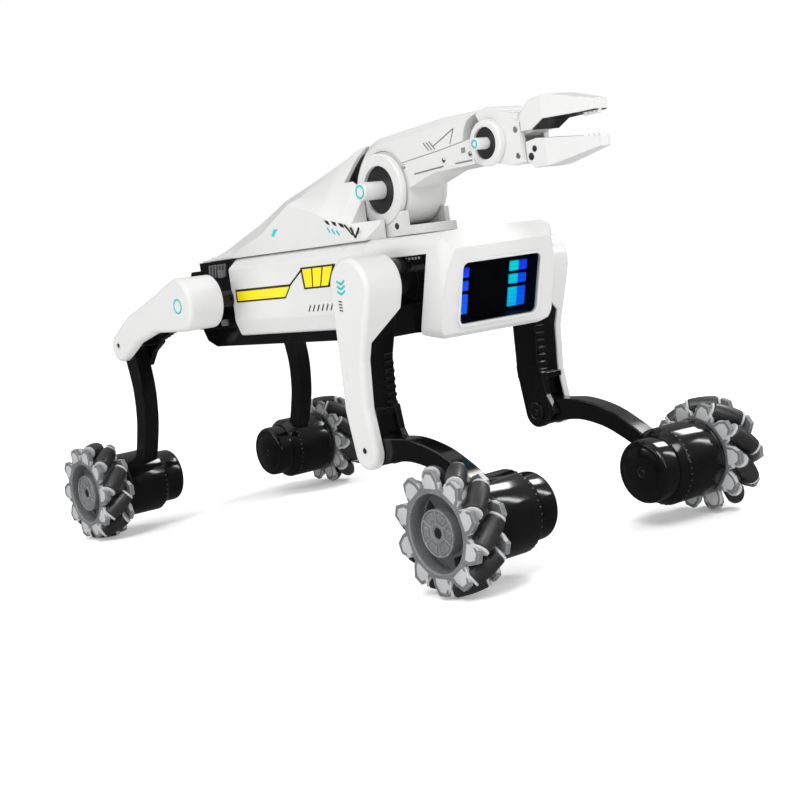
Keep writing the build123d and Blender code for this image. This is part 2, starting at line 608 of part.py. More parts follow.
def jaw_plan(root_half_y, taper_x, tip_half_y, low_z):
    """A tall block whose plan narrows from taper_x to the jaws' tip."""
    points = [(150, root_half_y), (taper_x, root_half_y), (JAW_TIP_X, tip_half_y)]
    plan = outline(*points, *[(x, -y) for x, y in reversed(points)])
    return Pos(0, 0, low_z) * extrude(plan, 40)


def upper_jaw():
    """The beak-shaped upper jaw, hollow underneath, with grip teeth at its tip."""
    tip = JAW_TIP_X
    profile = outline(
        (160.8, 204.5), (160.8, 212.4), (168, 218.6), (180, 219.6), (tip, 213.4), (tip, 208.6), (196, 208.4),
        (176, 208.6), (168, 204.6)
    )
    jaw = side_profile(profile, -9.4, 9.4) & jaw_plan(9.4, 176, 4.2, 190)
    jaw -= side_profile(outline((172, 200), (172, 209), (180, 213), (193, 211.6), (193, 200)), -4.6, 4.6)
    jaw += jaw_tongue(UPPER_JAW_PIVOT_Z)
    jaw += jaw_teeth(194, tip - 0.6, 0, 208.7, -2.0, 4)
    return jaw - rod(JAW_PIN_R + RUNNING, -20, 20, JAW_PIVOT_X, UPPER_JAW_PIVOT_Z)


def lower_jaw():
    """The slimmer lower jaw."""
    tip = JAW_TIP_X
    profile = outline(
        (160.8, 190.4), (160.8, 199.4), (168, 200.4), (tip, 196.6), (tip, 191.6), (176, 186.6), (166, 186.6)
    )
    jaw = side_profile(profile, -7.4, 7.4) & jaw_plan(7.4, 174, 3.2, 180)
    jaw -= block(171, 190, -3.4, 3.4, 193, 205)
    jaw += jaw_tongue(LOWER_JAW_PIVOT_Z)
    jaw += jaw_teeth(192, tip - 0.6, 0, 196.4, 1.8, 4)
    return jaw - rod(JAW_PIN_R + RUNNING, -20, 20, JAW_PIVOT_X, LOWER_JAW_PIVOT_Z)


# ---- assembly ---------------------------------------------------------------------------------------------
def leg_nodes():
    """Every leg's pieces in place. A leg is made once, for the left side, then turned and mirrored."""
    thigh_parts = {
        "thigh_shell": thigh_shell(),
        "thigh_cover": thigh_cover(),
        "knee_pin": Pos(0, 0, -THIGH_LENGTH) * knee_pin(),
    }
    shin_parts = {"shin": shin()}
    axle_parts = {"motor_drum": motor_drum(), "drum_cap": drum_cap()}
    wheel_parts = {"wheel_hub": wheel_hub(), "wheel_rollers": rollers()}
    nodes = {}
    for leg, (side, hip, axle_x, wheel_turn) in LEGS.items():
        knee = knee_of(hip, axle_x)
        thigh_turn = math.degrees(math.atan2(hip[0] - knee[0], hip[1] - knee[1]))
        shin_turn = math.degrees(math.atan2(knee[1] - WHEEL_R, axle_x - knee[0]))
        wheel_place = Pos(axle_x, WHEEL_INNER_Y + WHEEL_WIDTH / 2, WHEEL_R) * Rot(0, wheel_turn, 0)
        places = [
            (thigh_parts, Pos(hip[0], 0, hip[1]) * Rot(0, thigh_turn, 0)),
            (shin_parts, Pos(knee[0], 0, knee[1]) * Rot(0, shin_turn, 0)),
            (axle_parts, Pos(axle_x, 0, WHEEL_R)),
            (wheel_parts, wheel_place),
        ]
        for parts, place in places:
            for name, part in parts.items():
                placed = place * part
                nodes[f"{name}_{leg}"] = placed if side > 0 else mirror(placed, Plane.XZ)
    return nodes


def body_nodes():
    return {
        "torso_shell_right": torso_half(-1),
        "torso_shell_left": torso_half(1),
        "belly_pan": belly_pan(),
        "power_switch": power_switch(),
        "dorsal_cover": dorsal_cover(),
        "tail_cover": tail_cover(),
        "head_shell": head_shell(),
        "face_window": face_window(),
        "display_panel": display_panel(),
        "light_bars": light_bars(),
        "front_hip_frame": front_hip_frame(),
        "rear_hip_frame": rear_hip_frame(),
        "hip_axles": hip_axles(),
        "hip_gearmotors": hip_gearmotors(),
        "battery_pack": battery_pack(),
        "circuit_board": circuit_board(),
    }


def arm_nodes():
    return {
        "arm_base": arm_base(),
        "shoulder_housing": shoulder_housing(),
        "shoulder_discs": shoulder_discs(),
        "shoulder_pins": shoulder_pins(),
        "upper_arm_cover": upper_arm_cover(),
        "upper_arm_frame": upper_arm_frame(),
        "elbow_housing": elbow_housing(),
        "forearm_pins": forearm_pins(),
        "elbow_discs": elbow_discs(),
        "elbow_pins": elbow_pins(),
        "upper_jaw": upper_jaw(),
        "lower_jaw": lower_jaw(),
    }


os.makedirs("parts", exist_ok=True)
for node, shape in {**body_nodes(), **arm_nodes(), **leg_nodes()}.items():
    export_step(shape, f"parts/{node}.step")
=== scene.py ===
import json
import math

import bmesh
import bpy
from mathutils import Matrix, Vector


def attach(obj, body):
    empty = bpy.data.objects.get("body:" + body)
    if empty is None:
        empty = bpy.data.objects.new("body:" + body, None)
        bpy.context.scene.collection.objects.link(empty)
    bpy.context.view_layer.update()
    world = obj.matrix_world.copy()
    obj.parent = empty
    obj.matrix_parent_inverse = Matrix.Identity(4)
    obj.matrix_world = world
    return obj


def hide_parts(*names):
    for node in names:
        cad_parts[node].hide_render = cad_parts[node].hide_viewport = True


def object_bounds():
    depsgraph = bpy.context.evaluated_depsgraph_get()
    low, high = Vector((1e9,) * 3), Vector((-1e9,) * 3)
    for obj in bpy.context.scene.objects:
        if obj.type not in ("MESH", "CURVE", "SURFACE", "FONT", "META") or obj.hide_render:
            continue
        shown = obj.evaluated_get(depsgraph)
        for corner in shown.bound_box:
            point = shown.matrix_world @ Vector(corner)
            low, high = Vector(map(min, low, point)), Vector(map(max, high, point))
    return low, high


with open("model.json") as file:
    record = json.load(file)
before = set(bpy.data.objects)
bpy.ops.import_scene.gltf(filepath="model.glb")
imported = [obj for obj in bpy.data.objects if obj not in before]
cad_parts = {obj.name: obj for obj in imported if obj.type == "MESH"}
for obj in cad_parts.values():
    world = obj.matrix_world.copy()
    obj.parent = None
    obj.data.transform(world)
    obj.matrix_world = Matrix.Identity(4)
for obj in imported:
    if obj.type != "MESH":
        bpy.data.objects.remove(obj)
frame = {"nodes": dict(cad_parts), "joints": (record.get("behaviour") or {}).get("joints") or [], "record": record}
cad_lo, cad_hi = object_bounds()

scene = bpy.context.scene
JOINTS = {j["name"]: j for j in frame["joints"]}
LEGS = {"front_right": -1, "front_left": 1, "rear_right": -1, "rear_left": 1}  # the side of the robot, on Y
MM = 0.001
THIGH_LENGTH = 82.0
LIT_Z = (0.118, 0.145)  # metres: the heights that the lit bars' colours run between


# ---- materials --------------------------------------------------------------------------------------
def node(tree, kind, x, y, **values):
    made = tree.nodes.new(kind)
    made.location = (x, y)
    for key, value in values.items():
        if key in made.inputs:
            made.inputs[key].default_value = value
        else:
            setattr(made, key, value)
    return made


def moulded(name, colour, rough, spread=0.05, tint=0.04, grain=0.03, grain_scale=2600.0, metal=0.0,
            coat=0.0, edge_wear_and_highlight_colour=None, edge_wear_and_highlight=0.5, speckle=0.0, specular=0.5):
    """A moulded or painted surface: mottled colour, uneven gloss, fine grain, and lighter edges, partly rubbed and
    partly a painted highlight.
    """
    mat = bpy.data.materials.new(name)
    mat.use_nodes = True
    tree = mat.node_tree
    tree.nodes.clear()
    link = tree.links.new
    out = node(tree, "ShaderNodeOutputMaterial", 900, 0)
    bsdf = node(tree, "ShaderNodeBsdfPrincipled", 600, 0)
    bsdf.inputs["Metallic"].default_value = metal
    bsdf.inputs["Coat Weight"].default_value = coat
    bsdf.inputs["Coat Roughness"].default_value = 0.06
    bsdf.inputs["Specular IOR Level"].default_value = specular
    link(bsdf.outputs[0], out.inputs[0])
    place = node(tree, "ShaderNodeTexCoord", -1300, 0)
    # colour: slow mottling, with optional fine specks
    slow = node(tree, "ShaderNodeTexNoise", -1000, 300, Scale=55.0, Detail=4.0, Roughness=0.55)
    link(place.outputs["Object"], slow.inputs["Vector"])
    low = [c * (1 - tint) for c in colour]
    high = [min(1.0, c * (1 + tint * 0.6)) for c in colour]
    ramp = node(tree, "ShaderNodeValToRGB", -760, 300)
    ramp.color_ramp.elements[0].position = 0.32
    ramp.color_ramp.elements[1].position = 0.68
    ramp.color_ramp.elements[0].color = (*low, 1)
    ramp.color_ramp.elements[1].color = (*high, 1)
    link(slow.outputs[0], ramp.inputs[0])
    shade = ramp.outputs[0]
    if speckle:
        fine = node(tree, "ShaderNodeTexNoise", -1000, 560, Scale=900.0, Detail=3.0)
        link(place.outputs["Object"], fine.inputs["Vector"])
        spot = node(tree, "ShaderNodeMapRange", -760, 560)
        spot.inputs["From Min"].default_value = 0.52
        spot.inputs["From Max"].default_value = 0.7
        spot.inputs["To Max"].default_value = speckle
        link(fine.outputs[0], spot.inputs[0])
        mix = node(tree, "ShaderNodeMix", -480, 420, data_type="RGBA")
        mix.inputs[7].default_value = (*[min(1.0, c * 1.9 + 0.02) for c in colour], 1)
        link(spot.outputs[0], mix.inputs[0])
        link(shade, mix.inputs[6])
        shade = mix.outputs[2]
    # edges: where the rounded normal leaves the true one, the colour turns lighter: partly rubbed edges, partly a
    # painted edge highlight
    soft = node(tree, "ShaderNodeBevel", -1000, -520, samples=4, Radius=0.0007)
    shape = node(tree, "ShaderNodeNewGeometry", -1000, -760)
    turn = node(tree, "ShaderNodeVectorMath", -760, -620, operation="DOT_PRODUCT")
    link(soft.outputs[0], turn.inputs[0])
    link(shape.outputs["Normal"], turn.inputs[1])
    edge = node(tree, "ShaderNodeMapRange", -540, -620)
    edge.inputs["From Min"].default_value = 0.995
    edge.inputs["From Max"].default_value = 0.86
    edge.inputs["To Max"].default_value = edge_wear_and_highlight
    link(turn.outputs["Value"], edge.inputs[0])
    patch = node(tree, "ShaderNodeTexNoise", -760, -300, Scale=240.0, Detail=5.0)
    link(place.outputs["Object"], patch.inputs["Vector"])
    edge_wear_and_highlight_mask = node(tree, "ShaderNodeMath", -320, -520, operation="MULTIPLY")
    link(edge.outputs[0], edge_wear_and_highlight_mask.inputs[0])
    link(patch.outputs[0], edge_wear_and_highlight_mask.inputs[1])
    blend = node(tree, "ShaderNodeMix", -120, 260, data_type="RGBA")
    blend.inputs[7].default_value = (*(edge_wear_and_highlight_colour or high), 1)
    link(edge_wear_and_highlight_mask.outputs[0], blend.inputs[0])
    link(shade, blend.inputs[6])
    link(blend.outputs[2], bsdf.inputs["Base Color"])
    # gloss: smudges and handling marks
    smear = node(tree, "ShaderNodeTexNoise", -760, 40, Scale=90.0, Detail=6.0, Roughness=0.6)
    link(place.outputs["Object"], smear.inputs["Vector"])
    gloss = node(tree, "ShaderNodeMapRange", -480, 40)
    gloss.inputs["From Min"].default_value = 0.3
    gloss.inputs["From Max"].default_value = 0.7
    gloss.inputs["To Min"].default_value = max(0.02, rough - spread)
    gloss.inputs["To Max"].default_value = rough + spread
    link(smear.outputs[0], gloss.inputs[0])
    link(gloss.outputs[0], bsdf.inputs["Roughness"])
    # grain
    skin = node(tree, "ShaderNodeTexNoise", -760, -960, Scale=grain_scale, Detail=3.0)
    link(place.outputs["Object"], skin.inputs["Vector"])
    bump = node(tree, "ShaderNodeBump", 200, -500)
    bump.inputs["Strength"].default_value = grain
    bump.inputs["Distance"].default_value = 0.0002
    link(skin.outputs[0], bump.inputs["Height"])
    link(soft.outputs[0], bump.inputs["Normal"])
    link(bump.outputs[0], bsdf.inputs["Normal"])
    return mat


def lit(name, low, high, strength):
    """A lit bar: its colour runs from bottom to top, and its brightness comes in fine rows."""
    mat = bpy.data.materials.new(name)
    mat.use_nodes = True
    tree = mat.node_tree
    tree.nodes.clear()
    link = tree.links.new
    out = node(tree, "ShaderNodeOutputMaterial", 700, 0)
    bsdf = node(tree, "ShaderNodeBsdfPrincipled", 450, 0, Roughness=0.4)
    bsdf.inputs["Specular IOR Level"].default_value = 0.1
    link(bsdf.outputs[0], out.inputs[0])
    place = node(tree, "ShaderNodeTexCoord", -900, 0)
    split = node(tree, "ShaderNodeSeparateXYZ", -700, 0)
    link(place.outputs["Object"], split.inputs[0])
    height = node(tree, "ShaderNodeMapRange", -480, 100)
    height.inputs["From Min"].default_value = LIT_Z[0]
    height.inputs["From Max"].default_value = LIT_Z[1]
    link(split.outputs["Z"], height.inputs[0])
    ramp = node(tree, "ShaderNodeValToRGB", -260, 100)
    ramp.color_ramp.elements[0].color = (*low, 1)
    ramp.color_ramp.elements[1].color = (*high, 1)
    link(height.outputs[0], ramp.inputs[0])
    wave = node(tree, "ShaderNodeTexWave", -480, -200, Scale=150.0, bands_direction="Z")
    link(place.outputs["Object"], wave.inputs["Vector"])
    power = node(tree, "ShaderNodeMapRange", -260, -200)
    power.inputs["To Min"].default_value = strength * 0.7
    power.inputs["To Max"].default_value = strength
    link(wave.outputs[0], power.inputs[0])
    link(ramp.outputs[0], bsdf.inputs["Base Color"])
    link(ramp.outputs[0], bsdf.inputs["Emission Color"])
    link(power.outputs[0], bsdf.inputs["Emission Strength"])
    return mat


def clear_window(name):
    """A dark, mostly clear pane: a moulded surface that lets most of what is behind it through."""
    mat = moulded(name, (0.004, 0.004, 0.006), 0.05, spread=0.03, tint=0.1, grain=0.004, edge_wear_and_highlight=0.0)
    bsdf = next(n for n in mat.node_tree.nodes if n.type == "BSDF_PRINCIPLED")
    bsdf.inputs["Alpha"].default_value = 0.16
    bsdf.inputs["Specular IOR Level"].default_value = 0.04
    return mat


# each material's edge colour and amount below make its edges lighter: partly rubbing, partly a painted edge
# highlight
WHITE = moulded("white_shell", (0.66, 0.66, 0.655), 0.30, spread=0.03, tint=0.012, grain=0.03, coat=0.10,
                edge_wear_and_highlight_colour=(0.72, 0.72, 0.715), edge_wear_and_highlight=0.5, specular=0.35)
BLACK = moulded("black_gloss", (0.004, 0.004, 0.0045), 0.12, spread=0.04, tint=0.3, grain=0.02,
                edge_wear_and_highlight_colour=(0.05, 0.05, 0.055), edge_wear_and_highlight=0.7, specular=0.34)
CHARCOAL = moulded("charcoal_disc", (0.012, 0.0125, 0.014), 0.42, spread=0.08, tint=0.2, grain=0.12,
                   edge_wear_and_highlight_colour=(0.07, 0.07, 0.075), edge_wear_and_highlight=0.8)
HUB_GREY = moulded("hub_grey", (0.15, 0.153, 0.158), 0.40, spread=0.1, tint=0.16, grain=0.14, speckle=0.35,
                   edge_wear_and_highlight_colour=(0.52, 0.53, 0.54), edge_wear_and_highlight=1.0, coat=0.1)
CAP_GREY = moulded("roller_cap_grey", (0.45, 0.454, 0.46), 0.36, spread=0.08, tint=0.1, grain=0.08,
                   edge_wear_and_highlight_colour=(0.75, 0.75, 0.76), edge_wear_and_highlight=1.0)
RUBBER = moulded("roller_rubber", (0.022, 0.022, 0.023), 0.38, spread=0.1, tint=0.3, grain=0.12,
                 grain_scale=1800.0, edge_wear_and_highlight_colour=(0.10, 0.10, 0.10), edge_wear_and_highlight=0.6)
STEEL = moulded("turned_steel", (0.55, 0.55, 0.56), 0.28, spread=0.08, tint=0.06, grain=0.05, metal=1.0)
GREY_TRIM = moulded("grey_trim", (0.16, 0.163, 0.168), 0.4, spread=0.08, tint=0.1, grain=0.1)
TEAL = moulded("teal_print", (0.02, 0.52, 0.52), 0.35, spread=0.05, tint=0.12, grain=0.05, edge_wear_and_highlight=0.0)
YELLOW = moulded("yellow_print", (0.90, 0.72, 0.01), 0.34, spread=0.05, tint=0.05, grain=0.05, edge_wear_and_highlight=0.0)
# grey painted as the shade in the upper arm's panel lines, recesses and slots
SHADOW_GREY = moulded("recess_painted_shade", (0.22, 0.22, 0.225), 0.5, spread=0.06, tint=0.15, grain=0.06, edge_wear_and_highlight=0.0)
# black for printed marks, and also for painted shade in screw crosses, the hub sockets, the knee screw's hole and
# the roller slots
PRINT_AND_SHADE_BLACK = moulded("black_print_and_painted_shade", (0.012, 0.012, 0.012), 0.38, spread=0.06, tint=0.2, grain=0.05, edge_wear_and_highlight=0.0)
CAN = moulded("motor_can", (0.5, 0.5, 0.51), 0.35, metal=1.0, tint=0.08, grain=0.08)
CELL = moulded("cell_wrap", (0.06, 0.2, 0.42), 0.3, tint=0.08)
BOARD = moulded("board_green", (0.01, 0.12, 0.045), 0.4, tint=0.2, speckle=0.2)
GLASS = clear_window("face_glass")
PANEL = moulded("display_black", (0.0015, 0.0015, 0.002), 0.4, spread=0.05, tint=0.3, grain=0.02, edge_wear_and_highlight=0.0,
                specular=0.05)
CYAN_BARS = lit("cyan_bars", (0.0, 0.40, 0.80), (0.0, 0.62, 0.60), 1.0)
BLUE_BARS = lit("blue_bars", (0.0, 0.13, 0.85), (0.01, 0.03, 0.80), 1.0)

BY_SLOT = {
    "white_shell": WHITE, "black_shell": BLACK, "dark_disc": CHARCOAL, "grey_hub": HUB_GREY, "roller": RUBBER,
    "steel_pin": STEEL, "motor": CAN, "window": GLASS, "display": PANEL, "light_bar": CYAN_BARS, "cell": CELL,
    "board": BOARD, "switch": CHARCOAL,
}
for part in frame["record"]["subparts"]:
    obj = frame["nodes"][part["node"]]
    obj.data.materials.clear()
    obj.data.materials.append(BY_SLOT[part["material_slot"]])


# ---- mesh helpers, in millimetres ----------------------------------------------------------------------
STILL = Matrix.Identity(4)


def piece(name, verts, faces, body, mat, slot, place=STILL, bevel=0.0, sharp=32.0, weld=True):
    """A mesh from millimetre points, put in place, shaded smooth with its crisp edges kept."""
    mesh = bpy.data.meshes.new(name)
    mesh.from_pydata([tuple((place @ Vector(v)) * MM) for v in verts], [], faces)
    work = bmesh.new()
    work.from_mesh(mesh)
    if weld:
        bmesh.ops.remove_doubles(work, verts=work.verts, dist=1e-6)
    bmesh.ops.recalc_face_normals(work, faces=work.faces)
    work.to_mesh(mesh)
    work.free()
    mesh.materials.append(mat)
    obj = bpy.data.objects.new(name, mesh)
    scene.collection.objects.link(obj)
    mesh.polygons.foreach_set("use_smooth", [True] * len(mesh.polygons))
    if bevel:
        edge = obj.modifiers.new("edge", "BEVEL")
        edge.width = bevel * MM
        edge.segments = 2
        edge.limit_method = "ANGLE"
        edge.angle_limit = math.radians(sharp)
        edge.harden_normals = True
    else:
        mesh.set_sharp_from_angle(angle=math.radians(sharp))
    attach(obj, body)
    return obj


def gather(*shells):
    """Joins (verts, faces) shells into one."""
    verts, faces = [], []
    for shell_verts, shell_faces in shells:
        start = len(verts)
        verts += shell_verts
        faces += [[start + i for i in face] for face in shell_faces]
    return verts, faces


def moved(shell, matrix):
    """A shell put somewhere else by a matrix."""
    return [matrix @ Vector(v) for v in shell[0]], shell[1]


def prism(points, axis, a, b):
    """A closed prism between two values on an axis. The outline's points are the other two coordinates."""
    put = {
        "x": lambda p, t: (t, p[0], p[1]),
        "y": lambda p, t: (p[0], t, p[1]),
        "z": lambda p, t: (p[0], p[1], t),
    }[axis]
    n = len(points)
    verts = [put(p, a) for p in points] + [put(p, b) for p in points]
    faces = [list(range(n)), list(range(2 * n - 1, n - 1, -1))]
    faces += [[i, (i + 1) % n, (i + 1) % n + n, i + n] for i in range(n)]
    return verts, faces


def lathe(profile, segments=64):
    """Turned about Y. The profile is (radius, y) points; a radius of 0 closes an end."""
    verts, rings, faces = [], [], []
    for radius, y in profile:
        if radius == 0:
            rings.append([len(verts)] * segments)
            verts.append((0, y, 0))
        else:
            rings.append(list(range(len(verts), len(verts) + segments)))
            for i in range(segments):
                t = 2 * math.pi * i / segments
                verts.append((radius * math.cos(t), y, radius * math.sin(t)))
    for one, two in zip(rings, rings[1:]):
        for i in range(segments):
            j = (i + 1) % segments
            face = []
            for index in (one[i], one[j], two[j], two[i]):
                if index not in face:
                    face.append(index)
            if len(face) > 2:
                faces.append(face)
    return verts, faces


def loft(rings):
    """A closed skin through rings of the same number of points, capped at both ends."""
    n = len(rings[0])
    verts = [p for ring in rings for p in ring]
    faces = [list(range(n)), list(range(len(verts) - 1, len(verts) - n - 1, -1))]
    for k in range(len(rings) - 1):
        for i in range(n):
            j = (i + 1) % n
            faces.append([k * n + i, k * n + j, (k + 1) * n + j, (k + 1) * n + i])
    return verts, faces


def circle_points(radius, count=32, start=0.0, end=360.0, centre=(0, 0)):
    """Points round a circle, or along the arc between two angles in degrees."""
    closed = abs(end - start) >= 360
    steps = count if closed else count - 1
    angles = [math.radians(start + (end - start) * i / steps) for i in range(count)]
    return [(centre[0] + radius * math.cos(a), centre[1] + radius * math.sin(a)) for a in angles]


def washer(outer, inner, y0, y1, segments=48):
    """A flat ring about Y."""
    return lathe([(inner, y0), (outer, y0), (outer, y1), (inner, y1), (inner, y0)], segments)


def screw_head(radius, y, out, depth=0.5):
    """A pan screw head about Y, standing out from y in the direction of out."""
    rim = [(0, y - out * 0.3), (radius, y - out * 0.3), (radius, y + out * depth * 0.4),
           (radius * 0.8, y + out * depth * 0.85), (radius * 0.5, y + out * depth), (0, y + out * depth)]
    return lathe(rim, 24)


def cross_recess(radius, y, out):
    """The cross recess on a screw head, painted dark as the shade in it."""
    reach, w = radius * 0.55, radius * 0.16
    across = [(-reach, -w), (reach, -w), (reach, w), (-reach, w)]
    upright = [(-w, -reach), (w, -reach), (w, reach), (-w, reach)]
    return gather(*[prism(bar, "y", y, y + out * 0.05) for bar in (across, upright)])


def smooth_path(points, steps):
    """A Catmull-Rom line through the points; each point is a tuple of any length."""
    out = []
    ends = [points[0]] + list(points) + [points[-1]]
    for a, b, c, d in zip(ends, ends[1:], ends[2:], ends[3:]):
        for s in range(steps):
            t = s / steps
            out.append(tuple(0.5 * (2 * q + (r - p) * t + (2 * p - 5 * q + 4 * r - w) * t * t
                                    + (3 * q - p - 3 * r + w) * t ** 3) for p, q, r, w in zip(a, b, c, d)))
    out.append(tuple(points[-1]))
    return out


def at(x, y, z):
    return Matrix.Translation((x, y, z))


def joint_at(name):
    return Vector(JOINTS[name]["pos_m"]) / MM


def leg_places(leg):
    """Matrices from a left leg's own coordinates to this leg's place, for thigh, shin and axle."""
    side = LEGS[leg]
    hip, knee, axle = (joint_at(f"{kind}_{leg}") for kind in ("hip", "knee", "wheel_spin"))
    flip = Matrix.Diagonal((1, side, 1, 1))
    thigh_turn = math.atan2(hip.x - knee.x, hip.z - knee.z)
    shin_turn = math.atan2(knee.z - axle.z, axle.x - knee.x)
    thigh = at(hip.x, 0, hip.z) @ Matrix.Rotation(thigh_turn, 4, "Y") @ flip
    shin = at(knee.x, 0, knee.z) @ Matrix.Rotation(shin_turn, 4, "Y") @ flip
    axle_place = at(axle.x, 0, axle.z) @ flip
    return thigh, shin, axle_place


# ---- wheels -------------------------------------------------------------------------------------------
WHEEL_R, ROLLERS, AXIS_R, TILT, WHEEL_MID_Y = 30.0, 10, 25.0, 45.0, 89.5
ROLLER_HALF = 7.7  # from a roller's middle to its end face
DISH_R, HUB_FACE_Y = 18.75, 7.9  # the hub's dish, and the face of the boss in it
WHEEL_TURN = {"front_right": 18.0, "front_left": 0.0, "rear_right": 0.0, "rear_left": 0.0}


def roller_spot(index):
    """The place of one roller in its wheel: its own Y is its axle, and its own Z points outwards."""
    turn = Matrix.Rotation(math.radians(36.0 * index + 90), 4, "Y")
    lean = Matrix.Rotation(math.radians(90 - TILT), 4, "X")
    return turn @ at(AXIS_R, 0, 0) @ lean @ Matrix.Rotation(math.radians(90), 4, "X")


def barrel_radius(along):
    """A roller's radius along its axle, so that the wheel is round from the side."""
    return WHEEL_R - math.hypot(AXIS_R, along * math.sin(math.radians(TILT)))


def tooth(side):
    """A faceted tooth of a side plate, made pointing along +X, between two rollers' ends."""
    rim = [(18.6, -6.1), (22.6, -6.0), (27.9, -2.6), (28.4, 2.4), (24.6, 5.4), (18.6, 6.1)]
    base = [(x, side * 7.0, z) for x, z in rim]
    top = [(x, side * 9.2, z) for x, z in rim]
    verts = base + top + [(24.0, side * 10.1, 0.4)]
    n = len(rim)
    faces = [list(range(n))]
    faces += [[i, (i + 1) % n, (i + 1) % n + n, i + n] for i in range(n)]
    faces += [[i + n, (i + 1) % n + n, 2 * n] for i in range(n)]
    return verts, faces


def hub_details(leg, mid, body):
    """The hub's faceted teeth, its raised boss pattern, and its hexagonal socket painted as a black hexagon of
    shade.
    """
    lean = math.degrees(math.atan2((9.2 + 2.4) * math.sin(math.radians(TILT)), AXIS_R))
    teeth = []
    for side in (-1, 1):
        for i in range(ROLLERS):
            angle = math.radians(36.0 * i - 90 - side * lean)
            teeth.append(moved(tooth(side), Matrix.Rotation(-angle, 4, "Y")))
    piece(f"hub_teeth_{leg}", *gather(*teeth), body, CAP_GREY, "grey_hub", mid, bevel=0.3, sharp=20)
    pattern = [washer(11.0, 10.3, HUB_FACE_Y, 8.7), washer(4.6, 3.3, HUB_FACE_Y, 8.7)]
    for i in range(6):
        turn = Matrix.Rotation(math.radians(60 * i + 12), 4, "Y")
        spoke = [(4.4, -0.4), (10.4, -0.3), (10.4, 0.3), (4.4, 0.4)]
        pattern.append(moved(prism(spoke, "y", HUB_FACE_Y, 8.5), turn))
        pad = circle_points(9.4, 7, 14, 46) + circle_points(6.4, 7, 46, 14)
        pattern.append(moved(prism(pad, "y", HUB_FACE_Y, 8.45), turn))
    piece(f"hub_boss_{leg}", *gather(*pattern), body, HUB_GREY, "grey_hub", mid, bevel=0.12, sharp=30)
    rim = washer(DISH_R, DISH_R - 0.55, 1.2, 9.3, 72)
    piece(f"hub_dish_rim_{leg}", *rim, body, HUB_GREY, "grey_hub", mid, bevel=0.15)
    # a black hexagon painted where the socket's hollow is in shade
    socket = prism(circle_points(2.7, 6), "y", 5.0, 8.15)
    piece(f"hub_socket_shade_{leg}", *socket, body, PRINT_AND_SHADE_BLACK, "grey_hub", mid)


def wheel(leg, place):
    """One wheel: its ten barrel-shaped rollers with their end caps and their slots painted dark as shade, and the
    hub's details.
    """
    mid = place @ at(0, WHEEL_MID_Y, 0) @ Matrix.Rotation(math.radians(WHEEL_TURN[leg]), 4, "Y")
    body = f"wheel_{leg}"
    rubber, caps, slots = [], [], []
    # the slots in the rubber are thin dark hook marks, painted as the shade in them
    hook = [
        (-0.9, -1.3), (0.9, -1.3), (0.9, -0.9), (-0.5, -0.9), (-0.5, 0.9), (0.9, 0.9), (0.9, 1.3),
        (-0.9, 1.3),
    ]
    slot_shade_mark = prism(hook, "z", 0, 0.16)
    shoulder = [(0, ROLLER_HALF), (3.5, ROLLER_HALF), (barrel_radius(ROLLER_HALF) - 0.25, ROLLER_HALF - 0.15)]
    profile = [(r, -t) for r, t in shoulder]
    profile += [(barrel_radius(t), t) for t in (-7.2, -5, -2.5, 0, 2.5, 5, 7.2)]
    profile += reversed(shoulder)
    cap = [(0, 7.75), (3.9, 7.75), (4.1, 8.1), (4.0, 8.9), (2.2, 9.15), (0, 9.15)]
    for i in range(ROLLERS):
        spot = roller_spot(i)
        rubber.append(moved(lathe(profile, 28), spot))
        for end in (-1, 1):
            caps.append(moved(lathe([(r, end * t) for r, t in cap], 24), spot))
        for along, turn in ((-4.6, 0), (4.6, 180), (-4.6, 180), (4.6, 0)):
            skew = Matrix.Rotation(math.radians(turn), 4, "Y")
            facing = Matrix.Rotation(math.radians(math.copysign(90, along)), 4, "Z")
            mark = at(0, along, 0) @ skew @ at(0, 0, barrel_radius(along) - 0.1) @ facing
            slots.append(moved(slot_shade_mark, spot @ mark))
    verts, faces = gather(*rubber)
    rollers = piece(f"roller_tyres_{leg}", verts, faces, body, RUBBER, "roller", mid)
    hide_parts(f"wheel_rollers_{leg}")
    verts, faces = gather(*caps)
    piece(f"roller_ends_{leg}", verts, faces, body, CAP_GREY, "grey_hub", mid)
    piece(f"roller_slot_shade_{leg}", *gather(*slots), body, PRINT_AND_SHADE_BLACK, "roller", mid)
    hub_details(leg, mid, body)


# ---- drums --------------------------------------------------------------------------------------------
NOTCHES = 40
DRUM_R, DRUM_OUTER_Y, DRUM_INNER_Y, LID_Y = 20.0, 79.3, 48.0, 37.05


